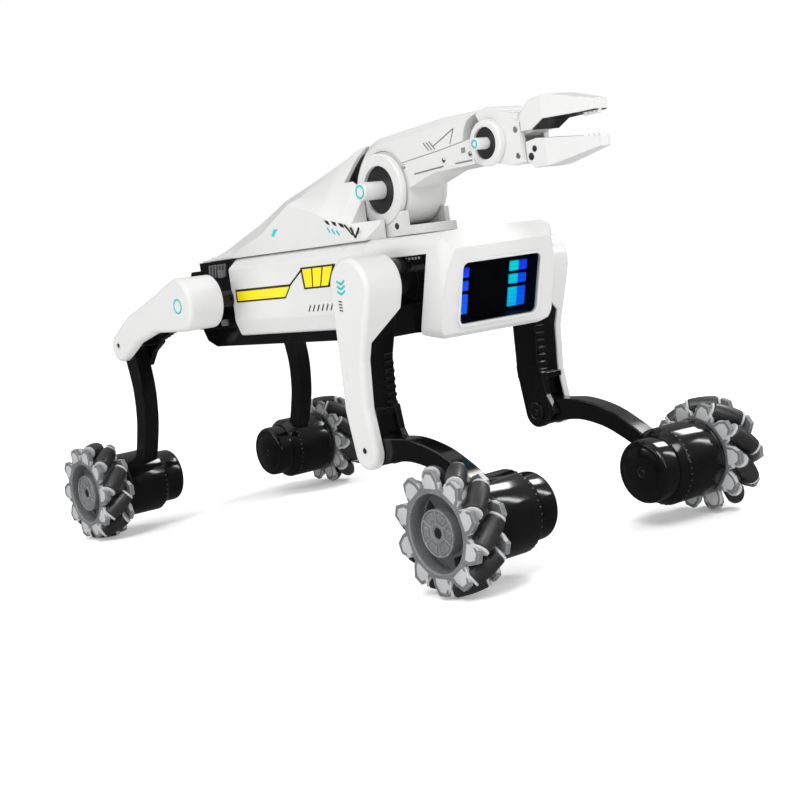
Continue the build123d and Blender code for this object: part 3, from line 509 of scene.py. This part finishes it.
def drum(leg, place):
    """One wheel motor's drum, the can inside it, the lid on its inner end and the notches round its seam."""
    body = f"lower_leg_{leg}"
    profile = [
        (0, DRUM_OUTER_Y), (17.5, DRUM_OUTER_Y), (19.4, 79.2), (DRUM_R, 78.6), (DRUM_R, 76.9), (19.7, 76.6),
        (19.7, 76.2), (DRUM_R, 75.9), (DRUM_R, 52.5), (19.85, 52.1), (19.6, 51.8), (17.4, 48.5),
        (17.0, 48.15), (16.6, DRUM_INNER_Y), (0, DRUM_INNER_Y),
    ]
    can = piece(f"drum_{leg}", *lathe(profile, 96), body, BLACK, "black_shell", place, sharp=40)
    motor = [
        (0, 52), (11.6, 52), (12.1, 52.6), (12.1, 60), (11.8, 60.2), (11.8, 60.8), (12.1, 61), (12.1, 69.8),
        (11.4, 70.3), (0, 70.3),
    ]
    works = piece(f"drum_motor_{leg}", *lathe(motor, 32), body, CAN, "motor", place)
    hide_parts(f"motor_drum_{leg}")
    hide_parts(f"motor_drum_{leg}")
    cap = [
        (0, DRUM_INNER_Y), (16.35, DRUM_INNER_Y), (16.35, 40.0), (16.1, 38.8), (15.4, 37.8), (14.4, 37.2),
        (13.4, LID_Y), (13.1, 37.3), (12.8, 37.3), (12.5, LID_Y), (2.6, LID_Y), (2.4, 37.35), (1.5, 37.35),
        (1.3, 37.1), (0, 37.1),
    ]
    lid = piece(f"drum_lid_{leg}", *lathe(cap, 80), body, BLACK, "black_shell", place, sharp=50)
    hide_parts(f"drum_cap_{leg}")
    notches = []
    for k in range(NOTCHES):
        notch = prism([(19.72, -0.45), (20.02, -0.45), (20.02, 0.45), (19.72, 0.45)], "y", 51.9, 53.0)
        notches.append(moved(notch, Matrix.Rotation(2 * math.pi * k / NOTCHES, 4, "Y")))
    piece(f"drum_notches_{leg}", *gather(*notches), body, CHARCOAL, "black_shell", place)


# ---- lower legs ---------------------------------------------------------------------------------------
# the shin's curve from knee to drum: distance along, height above the straight line, and half its depth
SHIN_LINE = (
    (0, 0.4, 7.4), (11, 4.2, 6.1), (27, 9.8, 5.5), (45, 11.6, 5.1), (60, 9.9, 4.8), (70, 7.8, 4.6),
    (78, 5.0, 4.8),
)
SHIN_INNER_Y, SHIN_OUTER_Y, SHIN_CHAMFER = 53.7, 64.1, 0.5


def shin(leg, place):
    """One curved lower leg: a box section with chamfered corners, and the round knuckle at the knee."""
    body = f"lower_leg_{leg}"
    inner, outer, chamfer = SHIN_INNER_Y, SHIN_OUTER_Y, SHIN_CHAMFER
    half_section = [(inner, 0.9), (inner + chamfer, 1.0), (outer - chamfer, 1.0), (outer, 0.9)]
    section = half_section + [(y, -u) for y, u in reversed(half_section)]
    curve = smooth_path(SHIN_LINE, 7)
    rings = []
    for k, (x, z, half) in enumerate(curve):
        ahead = curve[min(k + 1, len(curve) - 1)]
        behind = curve[max(k - 1, 0)]
        slope = Vector((ahead[0] - behind[0], 0, ahead[1] - behind[1])).normalized()
        up = Vector((-slope.z, 0, slope.x))
        middle = Vector((x, 0, z))
        rings.append([middle + up * (half * u) + Vector((0, y, 0)) for y, u in section])
    arm = loft(rings)
    turned = [
        (0, inner), (7.4, inner), (8.1, 54.4), (8.1, 63.3), (7.4, outer), (4.6, outer), (4.4, 63.7),
        (0, 63.7),
    ]
    both = gather(arm, lathe(turned, 56))
    solid = piece(f"shin_arm_{leg}", *both, body, BLACK, "black_shell", place, sharp=28, weld=False)
    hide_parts(f"shin_{leg}")


# ---- thighs -------------------------------------------------------------------------------------------
def mirrored(shell):
    """A shell and its mirror image across the robot's mid-plane."""
    verts, faces = shell
    return gather(shell, ([(v[0], -v[1], v[2]) for v in verts], faces))


def sided(shell, side):
    """A left-side shell, mirrored for the right side."""
    return [(v[0], side * v[1], v[2]) for v in shell[0]], shell[1]


def strips(outlines, y, thick=0.12):
    """Thin plates of flat (x, z) outlines, standing on a side face at y."""
    return gather(*[prism(points, "y", y - 0.3, y + thick) for points in outlines])


def line(a, b, width):
    """The outline of a straight line with a width, in x and z."""
    dx, dz = b[0] - a[0], b[1] - a[1]
    length = math.hypot(dx, dz)
    px, pz = -dz / length * width / 2, dx / length * width / 2
    return [(a[0] + px, a[1] + pz), (b[0] + px, b[1] + pz), (b[0] - px, b[1] - pz), (a[0] - px, a[1] - pz)]


THIGH_FACE_Y = 70.0


def thigh_marks(leg, place):
    """Printed marks, the dark liner, the knee screw with shade painted in its hole, and the knee pin of one thigh.
    """
    side, body, face_y = LEGS[leg], f"thigh_{leg}", THIGH_FACE_Y
    knee_spot = at(0, 0, -THIGH_LENGTH)
    hip, knee = joint_at(f"hip_{leg}"), joint_at(f"knee_{leg}")
    if "front" in leg:
        prints = []
        for k in range(3):
            x, z = 83.4 - 0.25 * k, 144.6 - 2.5 * k
            prints += [line((x - 3.3, z), (x, z - 1.7), 1.1), line((x, z - 1.7), (x + 3.3, z), 1.1)]
        piece(f"thigh_chevrons_{leg}", *sided(strips(prints, face_y), side), body, TEAL, "white_shell")
        ticks = [line((79.6, 134.6 - 1.5 * k), (82.4, 134.2 - 1.5 * k), 0.55) for k in range(4)]
        piece(f"thigh_ticks_{leg}", *sided(strips(ticks, face_y), side), body, PRINT_AND_SHADE_BLACK, "white_shell")
    else:
        ring = washer(4.5, 3.5, face_y - 0.3, face_y + 0.12)
        ring = sided(moved(ring, at(hip.x + 1, 0, hip.z - 0.5)), side)
        piece(f"thigh_ring_{leg}", *ring, body, TEAL, "white_shell")
    liner = [(-13.2, -61.0), (4.0, -61.0)] + circle_points(8.5, 16, 0, -180, (0, -THIGH_LENGTH))
    piece(f"thigh_liner_{leg}", *prism(liner, "y", 64.35, 64.62), body, BLACK, "black_shell", place)
    # the knee screw's hole: a dark disc painted as the shade in it, inside a white rim
    hole = lathe([(0, face_y - 0.2), (1.5, face_y - 0.2), (1.5, face_y + 0.1), (0, face_y + 0.1)], 24)
    rim = washer(2.1, 1.5, face_y - 0.2, face_y + 0.18)
    spot = at(knee.x + 0.4, 0, knee.z + 1.2)
    piece(f"knee_screw_{leg}", *sided(moved(hole, spot), side), body, PRINT_AND_SHADE_BLACK, "black_shell")
    piece(f"knee_screw_rim_{leg}", *sided(moved(rim, spot), side), body, WHITE, "white_shell")
    disc = [
        (0, 49.6), (5.6, 49.6), (5.6, 48.7), (5.1, 48.3), (3.9, 48.3), (3.7, 48.6), (1.6, 48.6), (1.4, 48.2),
        (0, 48.2),
    ]
    disc = moved(lathe(disc, 40), knee_spot)
    cover = piece(f"knee_disc_{leg}", *disc, body, BLACK, "black_shell", place)
    pin = [(0, 49.0), (3.0, 49.0), (3.0, 67.6), (0, 67.6)]
    pin = moved(lathe(pin, 32), knee_spot)
    shaft = piece(f"knee_shaft_{leg}", *pin, body, STEEL, "steel_pin", place)
    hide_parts(f"knee_pin_{leg}")
    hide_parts(f"knee_pin_{leg}")


for leg in LEGS:
    thigh_place, shin_place, axle_place = leg_places(leg)
    wheel(leg, axle_place)
    drum(leg, axle_place)
    shin(leg, shin_place)
    thigh_marks(leg, thigh_place)


# ---- body marks ---------------------------------------------------------------------------------------
def torso_marks():
    """The printed stripe, ticks, dashes and arrows on the torso's sides and the hump."""
    side_y = 35.0
    frame_ink = [
        [(-70.6, 136.9), (-18.8, 136.9), (-12.4, 143.6), (-12.4, 144.6), (-70.6, 144.6)],
        line((-13.2, 143.9), (1.2, 152.4), 1.1),
        [(-0.8, 153.0), (32.6, 153.0), (25.0, 140.9), (0.4, 140.9)],
    ]
    piece("stripe_frame", *mirrored(strips(frame_ink, side_y, 0.1)), "torso", PRINT_AND_SHADE_BLACK, "white_shell")
    cells = [[(-69.2, 137.8), (-19.2, 137.8), (-13.8, 143.3), (-69.2, 143.3)]]
    for k in range(3):
        top, low = 1.0 + 10.0 * k, 2.0 + 7.5 * k
        cells.append([(top, 152.0), (top + 8.7, 152.0), (low + 6.5, 141.8), (low, 141.8)])
    piece("stripe_cells", *mirrored(strips(cells, side_y, 0.16)), "torso", YELLOW, "white_shell")
    ticks = [line((2.0 + 4.2 * k, 128.4), (4.4 + 4.2 * k, 131.8), 0.9) for k in range(7)]
    piece("side_ticks", *mirrored(strips(ticks, side_y, 0.1)), "torso", PRINT_AND_SHADE_BLACK, "white_shell")
    hump_y = 30.5
    dashes = [[(x, z), (x + 3.6, z - 0.9), (x + 5.0, z - 3.2), (x + 2.2, z - 2.3)]
              for x, z in ((21.2, 177.0), (27.4, 175.8), (33.6, 174.4))]
    dashes += [line((39.0, 172.8), (45.4, 166.8), 0.9), line((44.0, 171.0), (47.6, 165.2), 1.3),
               line((47.6, 165.2), (51.4, 170.2), 1.3)]
    piece("hump_dashes", *mirrored(strips(dashes, hump_y, 0.1)), "torso", PRINT_AND_SHADE_BLACK, "white_shell")
    arrows = [[(-31.6, 172.6), (-28.4, 176.2), (-23.8, 176.0), (-26.6, 174.4), (-29.0, 172.2)]]
    for k in range(3):
        x, z = 23.4 + 4.0 * k, 172.6 - 1.1 * k
        arrows.append(line((x, z), (x + 2.2, z - 2.8), 1.2))
    piece("hump_arrows", *mirrored(strips(arrows, hump_y, 0.1)), "torso", TEAL, "white_shell")


def pin_rings():
    """Printed rings on the ends of the shoulder and elbow pins."""
    shoulder, elbow = joint_at("shoulder_pitch"), joint_at("elbow_pitch")
    ring = moved(washer(3.7, 2.7, 28.3, 28.72, 40), at(shoulder.x, 0, shoulder.z))
    piece("shoulder_rings", *mirrored(ring), "torso", TEAL, "white_shell")
    ring = moved(washer(2.15, 1.3, 19.3, 19.72, 32), at(elbow.x, 0, elbow.z))
    piece("elbow_rings", *mirrored(ring), "forearm", TEAL, "white_shell")


def arm_marks():
    """Painted shade in the panel lines, recesses and slots on the upper arm's sides, screws on those sides, and
    screws on the saddle.
    """
    # grey strips painted as the shade in the arm cover's panel lines and triangular recess
    lines = [line((90.0 + 2.4 * k, 208.6), (94.0 + 2.4 * k, 204.2), 0.7) for k in range(3)]
    lines += [line((98.0, 206.0), (114.8, 212.6), 0.6), line((114.8, 212.6), (110.8, 205.2), 0.6)]
    piece("arm_cover_line_shade", *mirrored(strips(lines, 11.6, 0.08)), "upper_arm", SHADOW_GREY, "dark_disc")
    # grey strips painted as the shade in the frame's slots
    low = [line((79.7, 193.8), (103.6, 195.0), 0.8), line((113.0, 195.2), (126.0, 195.4), 0.8),
           [(118.6, 199.6), (121.6, 199.8), (121.6, 202.4), (118.6, 202.2)]]
    piece("arm_frame_slot_shade", *mirrored(strips(low, 11.4, 0.08)), "upper_arm", SHADOW_GREY, "dark_disc")
    heads, marks = [], []
    for x, z in ((72.0, 198.6), (104.5, 198.0), (125.0, 198.6)):
        heads.append(moved(screw_head(1.3, 11.5, 1, 0.45), at(x, 0, z)))
        marks.append(moved(cross_recess(1.3, 11.68, 1), at(x, 0, z)))
    piece("arm_screws", *mirrored(gather(*heads)), "upper_arm", STEEL, "steel_pin")
    piece("arm_screw_cross_shade", *mirrored(gather(*marks)), "upper_arm", PRINT_AND_SHADE_BLACK, "dark_disc")
    saddle = [moved(screw_head(1.7, 15.5, 1, 0.4), at(x, 0, 168.4)) for x in (48.0, 65.0)]
    piece("saddle_screws", *mirrored(gather(*saddle)), "torso", CHARCOAL, "dark_disc")


def jaw_details():
    """Dark plates painted as the shade in the two jaws' hollows and on the upper jaw's underside, and the lower
    jaw's screws.
    """
    # dark plates painted as the shade in the upper jaw's hollow
    roof = [(172.1, 208.6), (180.0, 212.9), (192.9, 211.5), (192.9, 208.6), (192.6, 208.6), (192.6, 211.2),
            (180.0, 212.6), (172.5, 208.6)]
    cheek = [(172.1, 208.6), (180.0, 212.9), (192.9, 211.5), (192.9, 208.6)]
    slope = [(168.1, 204.35), (176.0, 208.3), (175.9, 208.62), (168.0, 204.67)]
    upper = [prism(roof, "y", -4.5, 4.5), prism(slope, "y", -8.9, 8.9)]
    upper += [prism(cheek, "y", side * 4.3, side * 4.55) for side in (-1, 1)]
    # the upper jaw's underside around its teeth, darkened as painted shade
    edge = [(176.0, 4.6), (176.0, 9.0), (204.9, 4.0), (204.9, 1.3), (193.2, 1.3), (193.2, 4.6)]
    upper += [prism([(x, side * y) for x, y in edge], "z", 208.15, 208.5) for side in (-1, 1)]
    piece("upper_jaw_painted_shade", *gather(*upper), "jaw_upper", CHARCOAL, "dark_disc")
    # dark plates painted as the shade in the lower jaw's hollow
    wall = [(171.1, 193.1), (189.9, 193.1), (189.9, 198.0), (171.1, 199.9)]
    floor = [(171.1, 193.05), (189.9, 193.05), (189.9, 193.35), (171.1, 193.35)]
    lower = [prism(floor, "y", -3.3, 3.3)] + [prism(wall, "y", side * 3.1, side * 3.35) for side in (-1, 1)]
    piece("lower_jaw_painted_shade", *gather(*lower), "jaw_lower", CHARCOAL, "dark_disc")
    screws = ((166.6, 195.6, 1.5), (163.8, 192.2, 1.8))
    heads = [moved(screw_head(radius, 7.4, 1, 0.5), at(x, 0, z)) for x, z, radius in screws]
    piece("lower_jaw_screws", *mirrored(gather(*heads)), "jaw_lower", CHARCOAL, "dark_disc")


# ---- face ---------------------------------------------------------------------------------------------
LEAN = math.radians(16.0)
FACE_MIDDLE = Vector((116.5 + (130.55 - 109.5) * math.tan(LEAN), 0, 130.55))
FACE = Matrix.Translation(FACE_MIDDLE) @ Matrix.Rotation(LEAN, 4, "Y")  # X points out of the screen


def rounded(half_y, half_z, radius, steps=8):
    """A rounded rectangle's outline in y and z."""
    points = []
    for start, sy, sz in ((0, 1, 1), (90, -1, 1), (180, -1, -1), (270, 1, -1)):
        centre = (sy * (half_y - radius), sz * (half_z - radius))
        points += circle_points(radius, steps, start, start + 90, centre)
    return points


def sleeve(outer, inner, a, b):
    """A frame between two outlines of the same count, from a to b along X."""
    n = len(outer)
    verts = [(t, *p) for t in (a, b) for ring in (outer, inner) for p in ring]
    faces = []
    for i in range(n):
        j = (i + 1) % n
        faces += [[i, j, n + j, n + i], [2 * n + i, 2 * n + j, 3 * n + j, 3 * n + i],
                  [i, j, 2 * n + j, 2 * n + i], [n + i, n + j, 3 * n + j, 3 * n + i]]
    return verts, faces


SCREEN_HALF_Y, SCREEN_HALF_S = 26.6, 15.25 / math.cos(LEAN)
BAR_MIDDLE, BAR_HALF = 20.0, 5.9
BAR_SHARES = ((0.07, 0.39), (0.45, 0.61), (0.665, 0.83))


def face():
    """The screen's raised rim and the two columns of lit bars."""
    def outline(grow, radius):
        return rounded(SCREEN_HALF_Y + grow, SCREEN_HALF_S + grow, radius)

    rim = sleeve(outline(1.5, 4.6), outline(-0.1, 3.2), -0.8, 0.45)
    piece("screen_rim", *rim, "torso", WHITE, "white_shell", FACE, bevel=0.25, sharp=60)
    lining = sleeve(outline(0.1, 3.2), outline(-0.35, 3.0), -10.9, -1.7)
    piece("screen_lining", *lining, "torso", PANEL, "display", FACE, sharp=60)
    columns = {"cyan": [], "blue": []}
    for low, high in BAR_SHARES:
        s0, s1 = SCREEN_HALF_S * (2 * low - 1), SCREEN_HALF_S * (2 * high - 1)
        for side in (-1, 1):
            middle = side * BAR_MIDDLE
            halves = {"cyan": (middle - BAR_HALF, middle - 0.05), "blue": (middle + 0.05, middle + BAR_HALF)}
            for colour, (y0, y1) in halves.items():
                columns[colour].append(prism([(y0, s0), (y1, s0), (y1, s1), (y0, s1)], "x", -9.8, -8.7))
    for colour, mat in (("cyan", CYAN_BARS), ("blue", BLUE_BARS)):
        bars = piece(f"bars_{colour}", *gather(*columns[colour]), "torso", mat, "light_bar", FACE, bevel=0.3)
        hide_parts("light_bars")


def neck_details():
    """Ribs and plates of the black frames at the front and the back, and light grey glints painted on the teeth of
    the neck's vent.
    """
    fins = [line((-101.0 + 3.4 * k, 153.0), (-99.4 + 3.4 * k, 160.6), 1.2) for k in range(6)]
    piece("rear_fins", *mirrored(strips(fins, 32.0, 1.1)), "torso", GREY_TRIM, "black_shell", bevel=0.2)
    blocks = [
        [(-90.5, 152.4), (-84.6, 152.4), (-84.6, 157.0), (-90.5, 157.0)],
        [(-94.0, 123.6), (-88.0, 123.6), (-88.0, 127.4), (-94.0, 127.4)],
    ]
    piece("rear_blocks", *mirrored(strips(blocks, 32.0, 1.6)), "torso", GREY_TRIM, "black_shell", bevel=0.4)
    # light grey dots painted as the glints on the small teeth of the vent under the roof
    glint_dots = []
    for k in range(15):
        x = 66.0 + 2.6 * k
        glint_dots.append([(x, 150.4), (x + 1.5, 150.4), (x + 1.5, 151.6), (x, 151.6)])
    piece("neck_tooth_glints", *mirrored(strips(glint_dots, 34.5, 0.12)), "torso", CAP_GREY, "grey_hub")
    ribs = [line((67.0, 144.6 - 4.0 * k), (74.0, 144.6 - 4.0 * k), 1.2) for k in range(6)]
    piece("neck_ribs", *mirrored(strips(ribs, 34.5, 0.7)), "torso", BLACK, "black_shell", bevel=0.2)


def soften(names, width, segments):
    """Rounds the crisp edges of CAD pieces with a modifier."""
    for name in names:
        obj = frame["nodes"][name]
        edge = obj.modifiers.new("edge", "BEVEL")
        edge.width = width * MM
        edge.segments = segments
        edge.limit_method = "ANGLE"
        edge.angle_limit = math.radians(30)
        edge.harden_normals = False


for width, segments, starts in (
    (0.9, 3, ("head_shell", "tail", "thigh_shell")),
    (0.45, 3, ("torso_shell", "dorsal")),
    (0.45, 2, ("arm_base", "upper_arm", "elbow_housing", "upper_jaw", "lower_jaw")),
    (0.35, 2, ("thigh_cover", "belly", "front_hip", "rear_hip", "wheel_hub")),
):
    soften([name for name in frame["nodes"] if name.startswith(starts)], width, segments)
torso_marks()
pin_rings()
arm_marks()
jaw_details()
face()
neck_details()


# ---- studio -------------------------------------------------------------------------------------------
def camera():
    """A long lens in front of the robot and to its right, a little above the level of its face."""
    data = bpy.data.cameras.new("camera")
    data.lens, data.shift_x, data.shift_y = 65.14, -0.07, -0.0423
    data.clip_start, data.clip_end = 0.01, 20
    cam = bpy.data.objects.new("camera", data)
    scene.collection.objects.link(cam)
    yaw, pitch, roll = math.radians(139.9955), math.radians(-5.0209), math.radians(-7.2933)
    ahead = Vector((math.cos(pitch) * math.cos(yaw), math.cos(pitch) * math.sin(yaw), math.sin(pitch)))
    right = ahead.cross(Vector((0, 0, 1))).normalized()
    up = right.cross(ahead)
    right, up = (right * math.cos(roll) + up * math.sin(roll), up * math.cos(roll) - right * math.sin(roll))
    turn = Matrix((right, up, -ahead)).transposed()
    cam.matrix_world = Matrix.Translation((0.66489, -0.49104, 0.1584)) @ turn.to_4x4()
    scene.camera = cam


def area(name, place, aim, size, power):
    """A white rectangular light at a place, aimed at a point."""
    data = bpy.data.lights.new(name, "AREA")
    data.shape = "RECTANGLE"
    data.size, data.size_y = size
    data.energy = power
    lamp = bpy.data.objects.new(name, data)
    scene.collection.objects.link(lamp)
    lamp.location = place
    lamp.rotation_mode = "QUATERNION"
    lamp.rotation_quaternion = (Vector(aim) - Vector(place)).to_track_quat("-Z", "Y")


def sun(name, towards, power, spread):
    """A broad distant light from a direction, so that the floor is lit evenly."""
    data = bpy.data.lights.new(name, "SUN")
    data.energy = power
    data.angle = math.radians(spread)
    lamp = bpy.data.objects.new(name, data)
    scene.collection.objects.link(lamp)
    lamp.rotation_mode = "QUATERNION"
    lamp.rotation_quaternion = Vector(towards).to_track_quat("Z", "Y")


def studio():
    """A white floor, a white room, two broad suns and four strips."""
    bpy.ops.mesh.primitive_plane_add(size=40, location=(0, 0, cad_lo.z - 0.0005))
    floor = bpy.context.object
    floor.name = "studio_floor"
    mat = bpy.data.materials.new("studio_floor")
    mat.use_nodes = True
    bsdf = mat.node_tree.nodes["Principled BSDF"]
    bsdf.inputs["Base Color"].default_value = (0.9, 0.9, 0.9, 1)
    bsdf.inputs["Roughness"].default_value = 0.8
    bsdf.inputs["Specular IOR Level"].default_value = 0.0
    bsdf.inputs["Emission Color"].default_value = (1, 1, 1, 1)
    bsdf.inputs["Emission Strength"].default_value = 0.28
    floor.data.materials.append(mat)
    floor.visible_glossy = False
    # the room is white to the camera, and dimmer as a light, with a gradient from floor to ceiling
    world = bpy.data.worlds.new("studio")
    scene.world = world
    world.use_nodes = True
    tree = world.node_tree
    tree.nodes.clear()
    link = tree.links.new
    out = node(tree, "ShaderNodeOutputWorld", 700, 0)
    mix = node(tree, "ShaderNodeMixShader", 500, 0)
    seen = node(tree, "ShaderNodeBackground", 250, -150, Strength=1.0)
    seen.inputs["Color"].default_value = (1, 1, 1, 1)
    fill = node(tree, "ShaderNodeBackground", 250, 100, Strength=1.0)
    ray = node(tree, "ShaderNodeLightPath", 250, 400)
    place = node(tree, "ShaderNodeTexCoord", -600, 100)
    split = node(tree, "ShaderNodeSeparateXYZ", -420, 100)
    ramp = node(tree, "ShaderNodeValToRGB", -100, 100)
    ramp.color_ramp.elements[0].color = (0.10, 0.10, 0.10, 1)
    ramp.color_ramp.elements[1].color = (0.62, 0.62, 0.62, 1)
    link(place.outputs["Generated"], split.inputs[0])
    link(split.outputs["Z"], ramp.inputs[0])
    link(ramp.outputs[0], fill.inputs["Color"])
    link(ray.outputs["Is Camera Ray"], mix.inputs[0])
    link(fill.outputs[0], mix.inputs[1])
    link(seen.outputs[0], mix.inputs[2])
    link(mix.outputs[0], out.inputs[0])
    sun("key", (0.55, -0.75, 0.9), 1.55, 22)
    sun("fill", (-0.5, -0.7, 1.6), 0.3, 40)
    # strips that show as long highlights on the black drums and shins
    area("strip_front", (0.9, -0.2, 0.55), (0.1, 0, 0.1), (0.10, 0.9), 2.2)
    area("strip_side", (-0.25, -0.9, 0.5), (0, 0, 0.08), (0.9, 0.08), 2.0)
    area("strip_above", (0.10, 1.00, 1.15), (0.1, 0, 0.05), (0.42, 0.30), 9.0)
    area("strip_beyond", (0.85, 1.00, 0.78), (0.1, 0, 0.05), (0.10, 0.5), 3.0)
    scene.view_settings.view_transform = "Standard"


camera()
studio()
